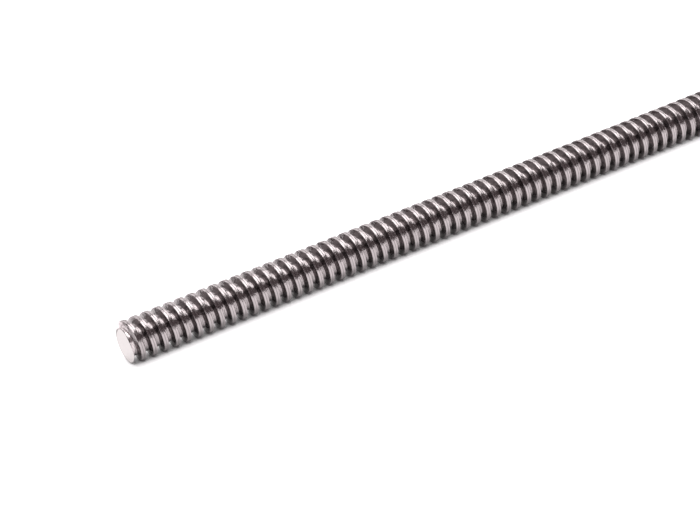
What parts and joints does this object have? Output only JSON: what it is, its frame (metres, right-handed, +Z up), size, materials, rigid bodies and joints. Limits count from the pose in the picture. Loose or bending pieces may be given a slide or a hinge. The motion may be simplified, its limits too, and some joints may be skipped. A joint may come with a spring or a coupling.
{
  "type": "trapezoidal lead screw",
  "caption": "Straight steel bar with a continuous trapezoidal thread cut along its full length, turned in a nut to move a load.",
  "frame": {"origin": "centre of the near sawn end face, on the axis of the bar", "axes": "+X along the axis of the bar, into its length; +Z up as the bar lies"},
  "size_m": [0.25, 0.014, 0.014],
  "materials": {
    "steel": "rolled bright, sawn ends"
  },
  "bodies": {
    "root": {"lead_screw": "steel"}
  },
  "joints": []
}
